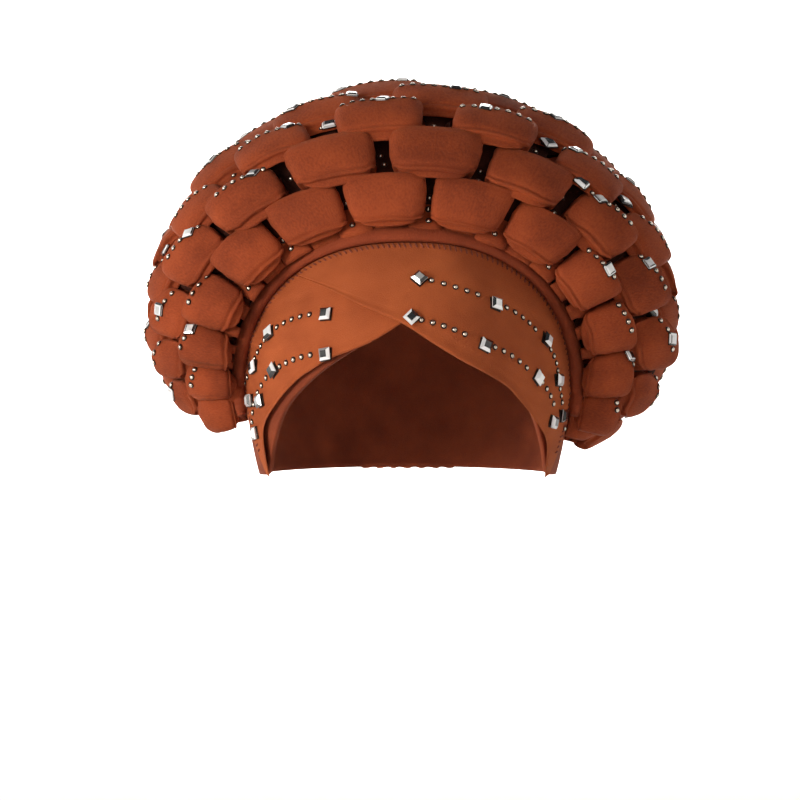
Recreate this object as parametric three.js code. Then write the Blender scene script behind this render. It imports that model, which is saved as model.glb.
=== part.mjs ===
// A tied gele head tie in padded cloth: a plain cap, two crossed forehead panels set with cut
// stones, a ruched binding, and a crown of puffed hoop bands woven over taut cross bands.
// Millimetres, +Z up, the face side towards -Y. The origin is the middle of the head opening,
// at eye level.
import * as THREE from "three";

// The head that the cap fits, measured to the outside of the cap's cloth.
const HEAD_HALF_WIDTH = 81.5;
const HEAD_HALF_LENGTH = 96;
const WIDEST_LEVEL = 30;
const CROWN_RISE = 85;
const LOWER_DROP = 130;
const NAPE_LEVEL = -22;
const CAP_WALL = 2;

// The forehead panels and the seam above them.
const PANEL_WALL = 1.6;
const CLOTH_GAP = 0.3;
const LAYER_GAP = 0.9;
const SEAM_OVERHANG = 0.5;
const SEAM_HALF_WIDTH = HEAD_HALF_WIDTH + SEAM_OVERHANG;
const SEAM_HALF_HEIGHT = 73.6;
const CENTRE_LEVEL = 20;
const SQUARENESS = 2.3;
const SIDE_TIP_DROP = 44;
const SIDE_TIP_INSET = 13;
const BINDING_WIDTH = 6;
const BINDING_HEIGHT = 5;
const BINDING_END_ANGLE = -12;
const RUCHE_DEPTH = 0.35;

// The woven crown. Angles are read from the front, about a line along Y at the centre level.
const RIM_MARGIN = 7;
const RIM_DEPTH_SIDE = 25;
const RIM_DEPTH_TOP = 62;
const CROWN_REACH = 143;
const WIDEST_DEPTH = 20;
const BACK_DEPTH = 130;
const BACK_MARGIN = 8;
const SIDE_FALL_ANGLE = 20;
const HOOP_COUNT = 9;
const HOOP_PITCH = 24;
const HOOP_COVER = 0.92;
const HOOP_WALL = 2.4;
const HOOP_DIP = 3.4;
const PUFF_HEIGHT = 10.5;
const COLUMN_COUNT = 24;
const SIDE_COLUMN_ANGLE = 96.3;
const SIDE_PITCH_ANGLE = 5.57;
const TOP_SPREAD = 0.455;
const CROSS_WALL = 2;
const CROSS_WIDTH = 10;
const CROSS_TUCK = 2.5;
const TIGHT_ROWS = 2;
const BACK_PANEL_WALL = 1.8;
const BACK_PLEATS = 26;
const BACK_PLEAT_DEPTH = 2.4;
const KNOT_RADIUS = 21;
const KNOT_HEIGHT = 11;

// The square cut stones on the forehead panels.
const STONE_WIDTH = 6;
const STONE_HEIGHT = 2.6;
const STONE_SEAT = 0.45;

// Where the dome stands widest, as a share of the crown's reach, by the angle above the side.
const REACH = [
  { angle: -24, share: 0.585 },
  { angle: -18, share: 0.62 },
  { angle: -12, share: 0.68 },
  { angle: -6, share: 0.755 },
  { angle: 0, share: 0.82 },
  { angle: 15, share: 0.91 },
  { angle: 30, share: 0.96 },
  { angle: 50, share: 0.99 },
  { angle: 90, share: 1 },
];

// One side of the cap's lower edge: the height of the edge by the turn from the face, as a share
// of the drop from the widest level to the nape.
const CAP_EDGE = [
  { turn: 0, share: 0.54 },
  { turn: 18, share: 0.24 },
  { turn: 33, share: -0.02 },
  { turn: 48, share: -0.34 },
  { turn: 58, share: -0.68 },
  { turn: 66, share: -0.94 },
  { turn: 78, share: -1 },
  { turn: 180, share: -1 },
];

// Sections across the right panel, from the side tip to the overlap on the left: the lower edge
// across and up as shares of the seam's half sizes, and the angle of the seam above it.
const RIGHT_PANEL = [
  { across: 0.823, up: -0.58, seam: -41 },
  { across: 0.833, up: -0.34, seam: -26 },
  { across: 0.756, up: -0.177, seam: -10 },
  { across: 0.67, up: -0.054, seam: 3 },
  { across: 0.58, up: 0.054, seam: 16 },
  { across: 0.44, up: 0.15, seam: 31 },
  { across: 0.31, up: 0.228, seam: 46 },
  { across: 0.146, up: 0.34, seam: 61 },
  { across: -0.024, up: 0.462, seam: 76 },
  { across: -0.16, up: 0.53, seam: 90 },
  { across: -0.293, up: 0.594, seam: 103 },
  { across: -0.47, up: 0.69, seam: 117 },
  { across: -0.66, up: 0.775, seam: 127 },
];

// Sections across the left panel, from its side tip to where it ends under the right one.
const LEFT_PANEL = [
  { across: -0.833, up: -0.58, seam: 221 },
  { across: -0.868, up: -0.34, seam: 206 },
  { across: -0.855, up: -0.2, seam: 192 },
  { across: -0.765, up: -0.04, seam: 178 },
  { across: -0.66, up: 0.088, seam: 164 },
  { across: -0.57, up: 0.16, seam: 150 },
  { across: -0.472, up: 0.228, seam: 137 },
  { across: -0.36, up: 0.28, seam: 125 },
  { across: -0.24, up: 0.334, seam: 113 },
  { across: -0.12, up: 0.41, seam: 101 },
  { across: 0.0, up: 0.5, seam: 90 },
  { across: 0.12, up: 0.6, seam: 80 },
];

// The stones: how far across and up they sit as shares of the seam's half sizes, how far each is
// turned on its seat, and the panel that carries it.
const STONES = [
  { across: 0.066, up: 0.755, turn: 45, panel: "right" },
  { across: 0.52, up: 0.587, turn: -18, panel: "right" },
  { across: 0.824, up: 0.348, turn: -35, panel: "right" },
  { across: 0.896, up: 0.082, turn: -5, panel: "right" },
  { across: 0.925, up: -0.16, turn: 0, panel: "right" },
  { across: 0.02, up: 0.5, turn: 45, panel: "right" },
  { across: 0.454, up: 0.32, turn: -25, panel: "right" },
  { across: 0.77, up: 0.1, turn: -40, panel: "right" },
  { across: 0.862, up: -0.2, turn: -10, panel: "right" },
  { across: -0.484, up: 0.52, turn: 5, panel: "left" },
  { across: -0.824, up: 0.394, turn: 30, panel: "left" },
  { across: -0.92, up: 0.167, turn: 20, panel: "left" },
  { across: -0.945, up: -0.06, turn: 5, panel: "left" },
  { across: -0.484, up: 0.26, turn: 10, panel: "left" },
  { across: -0.8, up: 0.148, turn: 40, panel: "left" },
  { across: -0.88, up: -0.06, turn: 15, panel: "left" },
  { across: -0.915, up: -0.28, turn: 5, panel: "left" },
];

const RUST = "#b4552f";
const DEEP_RUST = "#8c3c22";
const CRYSTAL = "#e4e6ea";

const rad = THREE.MathUtils.degToRad;
const vec = (x, y, z) => new THREE.Vector3(x, y, z);

// Reads a value column of a table between its rows, with a smooth curve through them.
function readTable(rows, keyColumn, valueColumn, key) {
  const last = rows.length - 1;
  const at = (i) => rows[Math.min(Math.max(i, 0), last)];
  let i = 0;
  while (i < last - 1 && key > rows[i + 1][keyColumn]) i += 1;
  const from = at(i);
  const to = at(i + 1);
  const step = to[keyColumn] - from[keyColumn];
  const t = THREE.MathUtils.clamp((key - from[keyColumn]) / step, 0, 1);
  const slope = (a, b) =>
    a === b ? 0 : ((b[valueColumn] - a[valueColumn]) / (b[keyColumn] - a[keyColumn])) * step;
  const leaving = slope(at(i - 1), to);
  const arriving = slope(from, at(i + 2));
  const rise = to[valueColumn] - from[valueColumn];
  return (
    from[valueColumn] +
    leaving * t +
    (3 * rise - 2 * leaving - arriving) * t * t +
    (leaving + arriving - 2 * rise) * t * t * t
  );
}

// Makes a closed mesh from corner lists, with equal corners joined and its faces outwards.
function closedMesh(name, faces, colour, roughness = 0.9, metalness = 0) {
  const numbers = new Map();
  const corners = [];
  const numberOf = (p) => {
    const key = p.toArray().map((c) => Math.round(c * 1000)).join();
    if (!numbers.has(key)) {
      numbers.set(key, corners.length);
      corners.push(p);
    }
    return numbers.get(key);
  };
  const triangles = faces
    .map((face) => face.map(numberOf))
    .filter(([a, b, c]) => a !== b && b !== c && c !== a);
  const volume = triangles.reduce(
    (sum, [a, b, c]) => sum + corners[a].dot(corners[b].clone().cross(corners[c])),
    0,
  );
  const index = triangles.flatMap(([a, b, c]) => (volume > 0 ? [a, b, c] : [a, c, b]));
  const geometry = new THREE.BufferGeometry();
  geometry.setAttribute(
    "position",
    new THREE.Float32BufferAttribute(corners.flatMap((p) => p.toArray()), 3),
  );
  geometry.setIndex(index);
  geometry.computeVertexNormals();
  const material = new THREE.MeshStandardMaterial({ color: colour, roughness, metalness });
  const mesh = new THREE.Mesh(geometry, material);
  mesh.name = name;
  return mesh;
}

const quad = (a, b, c, d) => [
  [a, b, c],
  [a, c, d],
];

// The faces of a bar that runs through a row of sections with the same number of corners.
function barFaces(sections) {
  const faces = [];
  const corners = sections[0].length;
  for (let i = 0; i < sections.length - 1; i += 1) {
    for (let j = 0; j < corners; j += 1) {
      const k = (j + 1) % corners;
      const [near, far] = [sections[i], sections[i + 1]];
      faces.push(...quad(near[j], near[k], far[k], far[j]));
    }
  }
  const closeEnd = (section, turned) => {
    for (let j = 1; j < corners - 1; j += 1) {
      const face = [section[0], section[j], section[j + 1]];
      faces.push(turned ? face : face.reverse());
    }
  };
  closeEnd(sections[0], false);
  closeEnd(sections[sections.length - 1], true);
  return faces;
}

// The faces of a cloth wall between an outer and an inner grid. A closed wall joins its last
// column to its first.
function wallFaces(outer, inner, closed) {
  const faces = [];
  const columns = outer.length;
  const rows = outer[0].length;
  const lastColumn = closed ? columns : columns - 1;
  for (let i = 0; i < lastColumn; i += 1) {
    const n = (i + 1) % columns;
    for (let j = 0; j < rows - 1; j += 1) {
      faces.push(...quad(outer[i][j], outer[n][j], outer[n][j + 1], outer[i][j + 1]));
      faces.push(...quad(inner[i][j], inner[i][j + 1], inner[n][j + 1], inner[n][j]));
    }
    const e = rows - 1;
    faces.push(...quad(outer[i][0], inner[i][0], inner[n][0], outer[n][0]));
    faces.push(...quad(outer[i][e], outer[n][e], inner[n][e], inner[i][e]));
  }
  if (!closed) {
    const c = columns - 1;
    for (let j = 0; j < rows - 1; j += 1) {
      faces.push(...quad(outer[0][j], outer[0][j + 1], inner[0][j + 1], inner[0][j]));
      faces.push(...quad(outer[c][j], inner[c][j], inner[c][j + 1], outer[c][j + 1]));
    }
  }
  return faces;
}

// A point of the head's form, by the turn from the face and its height, lifted off the cap.
function headPoint(turn, level, lift) {
  const reach = level > WIDEST_LEVEL ? CROWN_RISE : LOWER_DROP;
  const height = (level - WIDEST_LEVEL) / reach;
  const round = Math.sqrt(Math.max(1 - height * height, 0));
  return vec(
    (HEAD_HALF_WIDTH * round + lift) * Math.sin(turn),
    -(HEAD_HALF_LENGTH * round + lift) * Math.cos(turn),
    level,
  );
}

// The point of the face side that lies behind a place seen from the front, lifted off the cap.
function browPoint(x, z, lift) {
  const reach = (z > WIDEST_LEVEL ? CROWN_RISE : LOWER_DROP) + lift;
  const height = (z - WIDEST_LEVEL) / reach;
  const across = x / (HEAD_HALF_WIDTH + lift);
  const depth = Math.sqrt(Math.max(1 - across * across - height * height, 0));
  return vec(x, -(HEAD_HALF_LENGTH + lift) * depth, z);
}

function browNormal(x, z, lift) {
  const reach = (z > WIDEST_LEVEL ? CROWN_RISE : LOWER_DROP) + lift;
  const p = browPoint(x, z, lift);
  return vec(
    p.x / (HEAD_HALF_WIDTH + lift) ** 2,
    p.y / (HEAD_HALF_LENGTH + lift) ** 2,
    (z - WIDEST_LEVEL) / reach ** 2,
  ).normalize();
}

// The outline that the seam follows, seen from the front, with a margin outside it. Below the
// sides it runs down to the tips in front of the ears.
function seamOutline(angle, margin) {
  const side = angle > 90 ? -1 : 1;
  const rise = angle > 90 ? 180 - angle : angle;
  if (rise < 0) {
    const share = -rise / SIDE_TIP_DROP;
    return {
      x: side * (SEAM_HALF_WIDTH + margin - SIDE_TIP_INSET * share ** 1.6),
      z: CENTRE_LEVEL + rise,
    };
  }
  const power = 2 / SQUARENESS;
  return {
    x: side * (SEAM_HALF_WIDTH + margin) * Math.cos(rad(rise)) ** power,
    z: CENTRE_LEVEL + (SEAM_HALF_HEIGHT + margin) * Math.sin(rad(rise)) ** power,
  };
}

function makeCap() {
  const columns = 36;
  const rows = 6;
  const grid = (lift) =>
    Array.from({ length: columns }, (_, i) => {
      const degrees = (i / columns) * 360;
      const turn = degrees > 180 ? 360 - degrees : degrees;
      const drop = WIDEST_LEVEL - NAPE_LEVEL;
      const edge = WIDEST_LEVEL + drop * readTable(CAP_EDGE, "turn", "share", turn);
      const top = WIDEST_LEVEL + CROWN_RISE;
      return Array.from({ length: rows + 1 }, (__, j) => {
        const level = edge + (top - edge) * Math.cos((j / rows) * (Math.PI / 2)) ** 1.15;
        const p = headPoint(rad(degrees), level, 0);
        const middle = vec(0, 0, WIDEST_LEVEL);
        const inwards = p.clone().sub(middle).normalize();
        if (level < WIDEST_LEVEL) inwards.setZ(0).normalize();
        return p.addScaledVector(inwards, lift);
      });
    });
  return closedMesh("crown_cap", wallFaces(grid(0), grid(-CAP_WALL), true), DEEP_RUST);
}

// How high the right panel's underside lies: over the left panel, then down onto the cap.
function rightPanelSeat(x) {
  const far = THREE.MathUtils.smoothstep(x, 0.3 * SEAM_HALF_WIDTH, 0.65 * SEAM_HALF_WIDTH);
  return LAYER_GAP + (PANEL_WALL + LAYER_GAP) * (1 - far);
}

const leftPanelSeat = () => LAYER_GAP;

function makePanel(name, sections, seat) {
  const rows = 4;
  const grid = (lift) =>
    sections.map(({ across, up, seam }) => {
      const low = { x: across * SEAM_HALF_WIDTH, z: CENTRE_LEVEL + up * SEAM_HALF_HEIGHT };
      const high = seamOutline(seam, -2 * CLOTH_GAP);
      return Array.from({ length: rows + 1 }, (_, j) => {
        const x = low.x + ((high.x - low.x) * j) / rows;
        const z = low.z + ((high.z - low.z) * j) / rows;
        return browPoint(x, z, seat(x) + lift);
      });
    });
  return closedMesh(name, wallFaces(grid(PANEL_WALL), grid(0), false), RUST);
}

function makeBinding() {
  const steps = 46;
  const corners = 6;
  const middle = BINDING_WIDTH / 2 + CLOTH_GAP;
  const lift = BINDING_HEIGHT / 2 + LAYER_GAP;
  const centre = (angle) => {
    const { x, z } = seamOutline(angle, middle);
    return browPoint(x, z, lift);
  };
  const sections = Array.from({ length: steps + 1 }, (_, i) => {
    const angle = BINDING_END_ANGLE + ((180 - 2 * BINDING_END_ANGLE) * i) / steps;
    const p = centre(angle);
    const ahead = centre(angle + 1).sub(centre(angle - 1)).normalize();
    const out = browNormal(p.x, p.z, lift);
    const beside = ahead.clone().cross(out).normalize();
    const ruche = 1 - (i % 2) * (RUCHE_DEPTH / BINDING_HEIGHT);
    return Array.from({ length: corners }, (__, k) => {
      const turn = ((k + 0.5) / corners) * Math.PI * 2;
      return p
        .clone()
        .addScaledVector(beside, (BINDING_WIDTH / 2) * ruche * Math.cos(turn))
        .addScaledVector(out, (BINDING_HEIGHT / 2) * ruche * Math.sin(turn));
    });
  });
  return closedMesh("brow_binding", barFaces(sections), RUST);
}

// The rim where the weave starts, seen from the front.
function rimRadius(angle) {
  const rise = angle > 90 ? 180 - angle : angle;
  const width = SEAM_HALF_WIDTH + RIM_MARGIN;
  const height = SEAM_HALF_HEIGHT + RIM_MARGIN;
  const across = Math.abs(Math.cos(rad(rise))) / width;
  const up = Math.abs(Math.sin(rad(rise))) / height;
  const radius = (across ** SQUARENESS + up ** SQUARENESS) ** (-1 / SQUARENESS);
  return rise < 0 ? radius * (1 + rise * 0.002) : radius;
}

// The curve that the crown follows at an angle, from the rim over its widest place to the back,
// as points with a reach, a depth and the length so far.
const crownCurves = new Map();

function crownCurve(angle) {
  const key = angle.toFixed(3);
  if (crownCurves.has(key)) return crownCurves.get(key);
  const rise = angle > 90 ? 180 - angle : angle;
  const rim = rimRadius(angle);
  const widest = Math.max(CROWN_REACH * readTable(REACH, "angle", "share", rise), rim + 1);
  const rimDepth = -(
    RIM_DEPTH_SIDE +
    (RIM_DEPTH_TOP - RIM_DEPTH_SIDE) * Math.sin(rad(rise))
  );
  const low = THREE.MathUtils.smoothstep(-rise, 0, SIDE_FALL_ANGLE);
  const widestDepth = WIDEST_DEPTH * (1 - 1.25 * low);
  const backDepth = BACK_DEPTH + (HEAD_HALF_LENGTH + BACK_MARGIN - BACK_DEPTH) * low;
  const steps = 40;
  const points = [];
  for (let i = 0; i <= 2 * steps; i += 1) {
    const turn = ((i % steps) / steps) * (Math.PI / 2);
    if (i < steps) {
      points.push({
        reach: rim + (widest - rim) * Math.sin(turn),
        depth: rimDepth + (widestDepth - rimDepth) * (1 - Math.cos(turn)),
      });
    } else {
      const back = i === 2 * steps ? Math.PI / 2 : turn;
      points.push({
        reach: widest * Math.cos(back),
        depth: widestDepth + (backDepth - widestDepth) * Math.sin(back),
      });
    }
  }
  points[0].length = 0;
  for (let i = 1; i < points.length; i += 1) {
    const [a, b] = [points[i - 1], points[i]];
    b.length = a.length + Math.hypot(b.reach - a.reach, b.depth - a.depth);
  }
  crownCurves.set(key, points);
  return points;
}

// Where a row of the weave lies along the curve at an angle. Rows keep the hoops' pitch over the
// top and close up towards the back where the curve is shorter.
function rowLength(row, angle) {
  const full = crownCurve(90);
  const woven = (HOOP_PITCH * HOOP_COUNT) / full[full.length - 1].length;
  const curve = crownCurve(angle);
  const length = curve[curve.length - 1].length * woven;
  const crowding = Math.min((HOOP_PITCH * HOOP_COUNT) / length, 1.3);
  const share = row / HOOP_COUNT;
  if (share < 0 || share > 1) return share * length;
  return length * (1 - (1 - share) ** crowding);
}

// A point of the crown at an angle and a length along its curve, lifted outwards.
function crownPoint(angle, length, lift) {
  const curve = crownCurve(angle);
  let i = 1;
  while (i < curve.length - 1 && curve[i].length < length) i += 1;
  const [a, b] = [curve[i - 1], curve[i]];
  const share = (length - a.length) / (b.length - a.length);
  const previous = curve[Math.max(i - 2, 0)];
  const following = curve[Math.min(i + 1, curve.length - 1)];
  const run = Math.hypot(following.reach - previous.reach, following.depth - previous.depth);
  const outReach = (following.depth - previous.depth) / run;
  const outDepth = -(following.reach - previous.reach) / run;
  const reach = a.reach + (b.reach - a.reach) * share + outReach * lift;
  const depth = a.depth + (b.depth - a.depth) * share + outDepth * lift;
  return vec(
    reach * Math.cos(rad(angle)),
    depth,
    CENTRE_LEVEL + reach * Math.sin(rad(angle)),
  );
}

// The angle of a column of the weave, counted from the left side. Columns are wide over the top
// and close up at the sides.
function columnAngle(column) {
  const half = (COLUMN_COUNT - 1) / 2;
  const x = (column - half) / half;
  const side = SIDE_PITCH_ANGLE * half;
  const spread = (SIDE_COLUMN_ANGLE - side) / Math.tanh(1 / TOP_SPREAD);
  return 90 - side * x - spread * Math.tanh(x / TOP_SPREAD);
}

function columnPitch(column, row) {
  const [a, b] = [column - 0.5, column + 0.5].map((c) => {
    const angle = columnAngle(c);
    return crownPoint(angle, rowLength(row, angle), 0);
  });
  return a.distanceTo(b);
}

// One rise and fall of a hoop band, by columns from the middle of a dip and height.
const PUFF = [
  { column: -0.36, dip: true },
  { column: 0.36, dip: true },
  { column: 0.3, height: 0.57 },
  { column: 0.55, height: 1 },
  { column: 1.45, height: 1 },
  { column: 1.7, height: 0.57 },
];

function hoopPath(row) {
  const path = [];
  const first = row % 2 === 0 ? -1 : -2;
  const last = row % 2 === 0 ? COLUMN_COUNT + 1 : COLUMN_COUNT;
  for (let dip = first; dip <= last; dip += 2) {
    PUFF.forEach((step) => {
      if (dip === last && !step.dip) return;
      const column = dip + step.column;
      const fromEnd = Math.min(column - first, last - column);
      const swell = 0.45 + 0.55 * THREE.MathUtils.smoothstep(fromEnd, 0, 6);
      path.push({ column, height: step.dip ? -HOOP_DIP : PUFF_HEIGHT * step.height * swell });
    });
  }
  return path;
}

// Moves a path's points sideways by half the wall, with mitred corners.
function offsetPath(path, row, distance) {
  return path.map((point, i) => {
    const pitch = columnPitch(point.column, row);
    const before = path[Math.max(i - 1, 0)];
    const after = path[Math.min(i + 1, path.length - 1)];
    const direction = (a, b) =>
      new THREE.Vector2((b.column - a.column) * pitch, b.height - a.height).normalize();
    const arriving = before === point ? direction(point, after) : direction(before, point);
    const leaving = after === point ? arriving : direction(point, after);
    const across = arriving.clone().add(leaving).normalize();
    const mitre = Math.min(1 / Math.max(across.dot(arriving), 0.3), 1.7);
    return {
      column: point.column - (across.y * distance * mitre) / pitch,
      height: point.height + across.x * distance * mitre,
    };
  });
}

function makeHoop(number) {
  const row = number - 0.5;
  const path = hoopPath(number);
  const outside = offsetPath(path, row, HOOP_WALL / 2);
  const inside = offsetPath(path, row, -HOOP_WALL / 2);
  const place = ({ column, height }, edge) => {
    const angle = columnAngle(column);
    return crownPoint(angle, rowLength(row + (edge * HOOP_COVER) / 2, angle), height);
  };
  const sections = path.map((_, i) => [
    place(inside[i], -1),
    place(outside[i], -1),
    place(outside[i], 1),
    place(inside[i], 1),
  ]);
  const name = "hoop_band_" + String(number).padStart(2, "0");
  return closedMesh(name, barFaces(sections), RUST);
}

function makeCrossBand(number) {
  const column = number - 1;
  const angle = columnAngle(column);
  const stations = [{ row: 0.03, lift: 0 }];
  for (let row = 0.5; row < HOOP_COUNT; row += 1) {
    stations.push({ row, lift: 0 });
    if (row < TIGHT_ROWS) stations.push({ row: row + 0.5, lift: 0 });
  }
  stations.push({ row: HOOP_COUNT + 0.03, lift: 0 }, { row: HOOP_COUNT + 0.16, lift: -CROSS_TUCK });
  const sections = stations.map(({ row, lift: bend }) => {
    const pitch = columnPitch(column, row);
    const free = 0.61 * pitch - HOOP_WALL - 3 * CLOTH_GAP;
    const width = Math.max(Math.min(CROSS_WIDTH, free), 2);
    const side = (width / 2 / pitch) * (columnAngle(column + 0.5) - columnAngle(column - 0.5));
    const corner = (edge, lift) =>
      crownPoint(angle + side * edge, rowLength(row, angle + side * edge), bend + lift);
    return [
      corner(-1, -CROSS_WALL / 2),
      corner(-1, CROSS_WALL / 2),
      corner(1, CROSS_WALL / 2),
      corner(1, -CROSS_WALL / 2),
    ];
  });
  const name = "cross_band_" + String(number).padStart(2, "0");
  return closedMesh(name, barFaces(sections), DEEP_RUST);
}

// The outer edge of the back panel at an angle: under the last hoop over the top, and along the
// cap's lower edge at the nape.
function backEdge(angle) {
  const upper = columnAngle(COLUMN_COUNT + 0.5);
  const rise = angle > 90 ? 180 - angle : angle;
  const fullness = (BACK_PLEAT_DEPTH + BACK_PANEL_WALL) / 2;
  const tuck = HOOP_DIP + HOOP_WALL / 2 + fullness + LAYER_GAP;
  const tucked = (degrees) => crownPoint(degrees, rowLength(HOOP_COUNT - 0.3, degrees), -tuck);
  if (rise >= upper) return tucked(angle);
  const start = tucked(upper);
  const share = (upper - rise) / (upper + 90);
  const side = Math.sign(Math.cos(rad(angle))) || 1;
  const startTurn = Math.atan2(start.x, -start.y);
  const turn = startTurn + (Math.PI - startTurn) * share;
  const level = start.z + (NAPE_LEVEL - start.z) * THREE.MathUtils.smoothstep(share, 0, 0.4);
  const hem = headPoint(turn, level, fullness + LAYER_GAP);
  return vec(side * hem.x, hem.y, hem.z);
}

function makeBackPanel() {
  const columns = BACK_PLEATS * 2;
  const rows = 5;
  const middle = vec(0, BACK_DEPTH, CENTRE_LEVEL);
  const grid = (lift) =>
    Array.from({ length: columns }, (_, i) => {
      const angle = -90 + (i / columns) * 360;
      const edge = backEdge(angle);
      const rise = angle > 90 ? 180 - angle : angle;
      const slant = rad(15 + 45 * THREE.MathUtils.smoothstep(rise, -60, -20));
      const pleat = (i % 2 ? -0.5 : 0.5) * BACK_PLEAT_DEPTH;
      return Array.from({ length: rows + 1 }, (__, j) => {
        const turn = slant + (Math.PI / 2 - slant) * (1 - j / rows);
        const reach = Math.cos(turn) / Math.cos(slant);
        const x = edge.x * reach;
        const z = CENTRE_LEVEL + (edge.z - CENTRE_LEVEL) * reach;
        const risen = (Math.sin(turn) - Math.sin(slant)) / (1 - Math.sin(slant));
        const y = edge.y + (middle.y - edge.y) * risen;
        const ripple = pleat * Math.sin((j / rows) * Math.PI * 0.9) + lift;
        const away = vec(edge.x, 0, edge.z - CENTRE_LEVEL)
          .normalize()
          .multiplyScalar(Math.cos(turn))
          .add(vec(0, Math.sin(turn), 0));
        return vec(x, y, z).addScaledVector(away, ripple);
      });
    });
  const merge = (columnsOf) => {
    const pole = columnsOf[0][0];
    columnsOf.forEach((column) => {
      column[0] = pole;
    });
    return columnsOf;
  };
  const outer = merge(grid(BACK_PANEL_WALL / 2));
  const inner = merge(grid(-BACK_PANEL_WALL / 2));
  return closedMesh("back_panel", wallFaces(outer, inner, true), RUST);
}

function makeKnot() {
  const folds = 12;
  const profile = [
    { radius: 0.72, height: 0 },
    { radius: 1, height: 0.3 },
    { radius: 0.9, height: 0.75 },
    { radius: 0.5, height: 1 },
  ];
  const sections = profile.map(({ radius, height }) =>
    Array.from({ length: 2 * folds }, (_, i) => {
      const turn = (i / (2 * folds)) * Math.PI * 2;
      const flute = 1 - (i % 2) * 0.1;
      return vec(
        KNOT_RADIUS * radius * flute * Math.cos(turn),
        BACK_DEPTH + BACK_PANEL_WALL / 2 + CLOTH_GAP + KNOT_HEIGHT * height,
        CENTRE_LEVEL + KNOT_RADIUS * radius * flute * Math.sin(turn),
      );
    }),
  );
  return closedMesh("back_knot", barFaces(sections), DEEP_RUST);
}

// A square cut stone with a flat table, a girdle and a tapered foot, seated on its panel.
const STONE_LEVELS = [
  { width: 0.7, height: 0 },
  { width: 1, height: 0.4 },
  { width: 1, height: 0.55 },
  { width: 0.56, height: 1 },
];

function makeStone({ across, up, turn, panel }, number) {
  const x = across * SEAM_HALF_WIDTH;
  const z = CENTRE_LEVEL + up * SEAM_HALF_HEIGHT;
  const seat = (panel === "right" ? rightPanelSeat(x) : leftPanelSeat()) + PANEL_WALL;
  const sections = STONE_LEVELS.map(({ width, height }) =>
    [0, 1, 2, 3].map((corner) => {
      const angle = rad(turn) + (corner + 0.5) * (Math.PI / 2);
      const radius = (STONE_WIDTH * width) / Math.SQRT2;
      return vec(radius * Math.cos(angle), radius * Math.sin(angle), STONE_HEIGHT * height);
    }),
  );
  const name = "brow_stone_" + String(number).padStart(2, "0");
  const mesh = closedMesh(name, barFaces(sections), CRYSTAL, 0.08, 0.3);
  const out = browNormal(x, z, seat);
  const across3d = vec(0, 0, 1).cross(out).normalize();
  const upward = out.clone().cross(across3d);
  mesh.quaternion.setFromRotationMatrix(new THREE.Matrix4().makeBasis(across3d, upward, out));
  mesh.position.copy(browPoint(x, z, seat)).addScaledVector(out, STONE_SEAT);
  return mesh;
}

const headTie = new THREE.Group();
headTie.add(makeCap());
headTie.add(makePanel("forehead_panel_left", LEFT_PANEL, leftPanelSeat));
headTie.add(makePanel("forehead_panel_right", RIGHT_PANEL, rightPanelSeat));
headTie.add(makeBinding());
for (let number = 1; number <= HOOP_COUNT; number += 1) headTie.add(makeHoop(number));
for (let number = 1; number <= COLUMN_COUNT; number += 1) headTie.add(makeCrossBand(number));
headTie.add(makeBackPanel());
headTie.add(makeKnot());
STONES.forEach((stone, i) => headTie.add(makeStone(stone, i + 1)));

export default headTie;
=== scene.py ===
"""The looks of a tied gele head tie: a crown of puffed, padded bands woven over taut cross bands,
crossed forehead panels with a ruched binding, and lines of studs and square crystals."""
import functools
import math
import random

import bmesh
import bpy
from mathutils import Matrix, Vector
from mathutils.bvhtree import BVHTree


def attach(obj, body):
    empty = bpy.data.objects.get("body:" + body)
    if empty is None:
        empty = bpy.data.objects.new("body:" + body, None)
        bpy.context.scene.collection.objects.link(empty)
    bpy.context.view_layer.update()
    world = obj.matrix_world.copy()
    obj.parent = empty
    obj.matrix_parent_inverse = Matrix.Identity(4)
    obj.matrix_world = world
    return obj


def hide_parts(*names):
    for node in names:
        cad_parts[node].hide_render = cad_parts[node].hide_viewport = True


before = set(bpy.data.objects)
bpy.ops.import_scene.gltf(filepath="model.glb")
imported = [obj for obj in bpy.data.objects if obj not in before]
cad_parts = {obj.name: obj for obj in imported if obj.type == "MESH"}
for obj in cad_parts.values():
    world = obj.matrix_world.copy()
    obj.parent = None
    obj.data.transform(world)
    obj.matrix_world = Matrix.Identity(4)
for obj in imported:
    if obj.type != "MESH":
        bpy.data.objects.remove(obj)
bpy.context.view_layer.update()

MM = 0.001

# The photograph's frame, what one of its pixels measures at the forehead, and the camera's place,
# in metres.
FRAME_PIXELS = 800
PIXEL_SIZE = 0.49 * MM
MIDDLE_COLUMN = 408
EYE_ROW = 430
FACE_DEPTH = -0.06
CAMERA_DISTANCE = 2.6
CAMERA_RISE_ANGLE = 1.5

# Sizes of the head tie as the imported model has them, in millimetres, with angles in degrees.
HEAD_HALF_WIDTH = 81.5
HEAD_HALF_LENGTH = 96
WIDEST_LEVEL = 30
CROWN_RISE = 85
LOWER_DROP = 130
NAPE_LEVEL = -22
CAP_WALL = 2
PANEL_WALL = 1.6
LAYER_GAP = 0.9
SEAM_HALF_WIDTH = 82
SEAM_HALF_HEIGHT = 73.6
CENTRE_LEVEL = 20
SQUARENESS = 2.3
SIDE_TIP_DROP = 44
SIDE_TIP_INSET = 13
BINDING_END_ANGLE = -12
RIM_MARGIN = 7
RIM_DEPTH_SIDE = 25
RIM_DEPTH_TOP = 62
CROWN_REACH = 143
WIDEST_DEPTH = 20
BACK_DEPTH = 130
BACK_MARGIN = 8
SIDE_FALL_ANGLE = 20
HOOP_COUNT = 9
HOOP_PITCH = 24
HOOP_COVER = 0.92
COLUMN_COUNT = 24
SIDE_COLUMN_ANGLE = 96.3
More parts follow.
